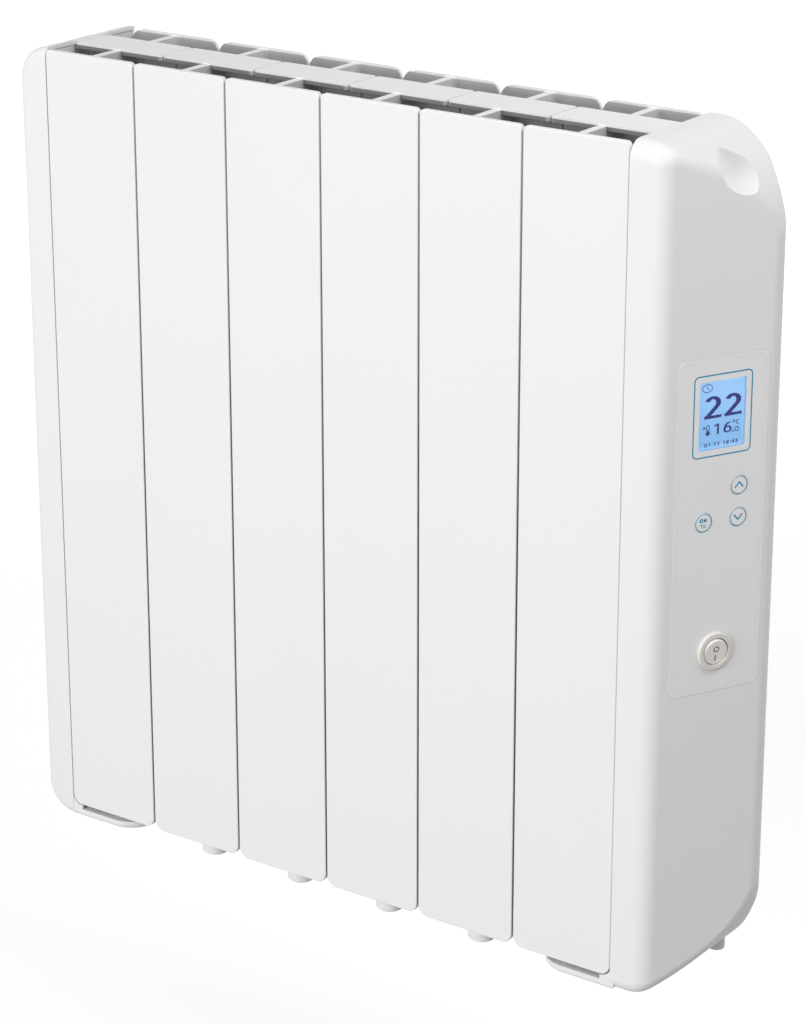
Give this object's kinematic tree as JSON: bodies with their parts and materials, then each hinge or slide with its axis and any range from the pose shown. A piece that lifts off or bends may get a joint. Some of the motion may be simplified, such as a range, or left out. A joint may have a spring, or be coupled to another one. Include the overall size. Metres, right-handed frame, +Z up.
{
  "type": "electric radiator",
  "caption": "Wall-hung electric radiator: flat-fronted cast sections between a slim end cap and a wedge-shaped cap with a display, push keys and a rocker switch.",
  "frame": {"origin": "midway between the two wall-hook seats, on the underside of the top hubs, in the middle of the stack", "axes": "+X along the stack towards the control cap, +Y from the front to the wall, +Z up"},
  "size_m": [0.5691, 0.097, 0.593],
  "materials": {
    "section_paint": "white stoved enamel on die-cast aluminium",
    "cap_plastic": "white moulded plastic, fine grain",
    "plate_paint": "white painted sheet steel",
    "film": "satin printed film",
    "lens": "clear acrylic",
    "lcd": "liquid-crystal glass",
    "lamp": "moulded light guide",
    "key": "satin plastic",
    "switch": "satin plastic",
    "board": "solder-masked laminate",
    "part_black": "moulded plastic",
    "part_blue": "moulded plastic",
    "part_green": "moulded plastic",
    "steel": "zinc plated",
    "brass": "machined",
    "seal": "pressed fibre and rubber",
    "gland": "moulded nylon",
    "wire": "silicone sleeve",
    "ribbon": "flat cable"
  },
  "bodies": {
    "radiator": {"section_1": "section_paint", "section_2": "section_paint", "section_3": "section_paint", "section_4": "section_paint", "section_5": "section_paint", "section_6": "section_paint", "section_gaskets": "seal", "section_nipples": "steel", "core_plugs": "section_paint", "blank_plugs": "steel", "plug_gaskets": "seal", "heating_element": "steel", "heater_head": "brass", "heater_terminals": "steel", "heater_leads": "wire", "left_end_plate": "plate_paint", "right_end_plate": "plate_paint", "left_end_cap": "cap_plastic", "right_end_cap": "cap_plastic", "left_cap_screws": "steel", "right_cap_screws": "steel", "control_overlay": "film", "display_window": "lens", "lcd_glass": "lcd", "lcd_backlight": "lamp", "control_board": "board", "control_board_screws": "steel", "key_switches": "part_black", "switch_housing": "switch", "switch_terminals": "brass", "switch_leads": "wire", "power_board": "board", "board_standoffs": "brass", "board_screws": "steel", "board_relay": "part_blue", "board_transformer": "part_black", "terminal_block": "part_green", "board_sockets": "gland", "thermal_cutout": "part_black", "cable_gland": "gland", "gland_nut": "gland", "room_sensor": "part_black", "ribbon_cable": "ribbon"},
    "up_key": {"up_key": "key"},
    "down_key": {"down_key": "key"},
    "ok_key": {"ok_key": "key"},
    "rocker": {"switch_rocker": "switch"}
  },
  "joints": [
    {"name": "up_key_press", "type": "slide", "parent": "radiator", "child": "up_key", "axis": [-0.8944, 0.4472, 0], "range_m": [0, 0.0005], "stiffness_N_per_m": 1500},
    {"name": "down_key_press", "type": "slide", "parent": "radiator", "child": "down_key", "axis": [-0.8944, 0.4472, 0], "range_m": [0, 0.0005], "stiffness_N_per_m": 1500},
    {"name": "ok_key_press", "type": "slide", "parent": "radiator", "child": "ok_key", "axis": [-0.8944, 0.4472, 0], "range_m": [0, 0.0005], "stiffness_N_per_m": 1500},
    {"name": "rocker_tilt", "type": "hinge", "parent": "radiator", "child": "rocker", "pos_m": [0.28545, -0.00387, -0.2823], "axis": [0.4472, 0.8944, 0], "range_deg": [-18, 0]}
  ]
}
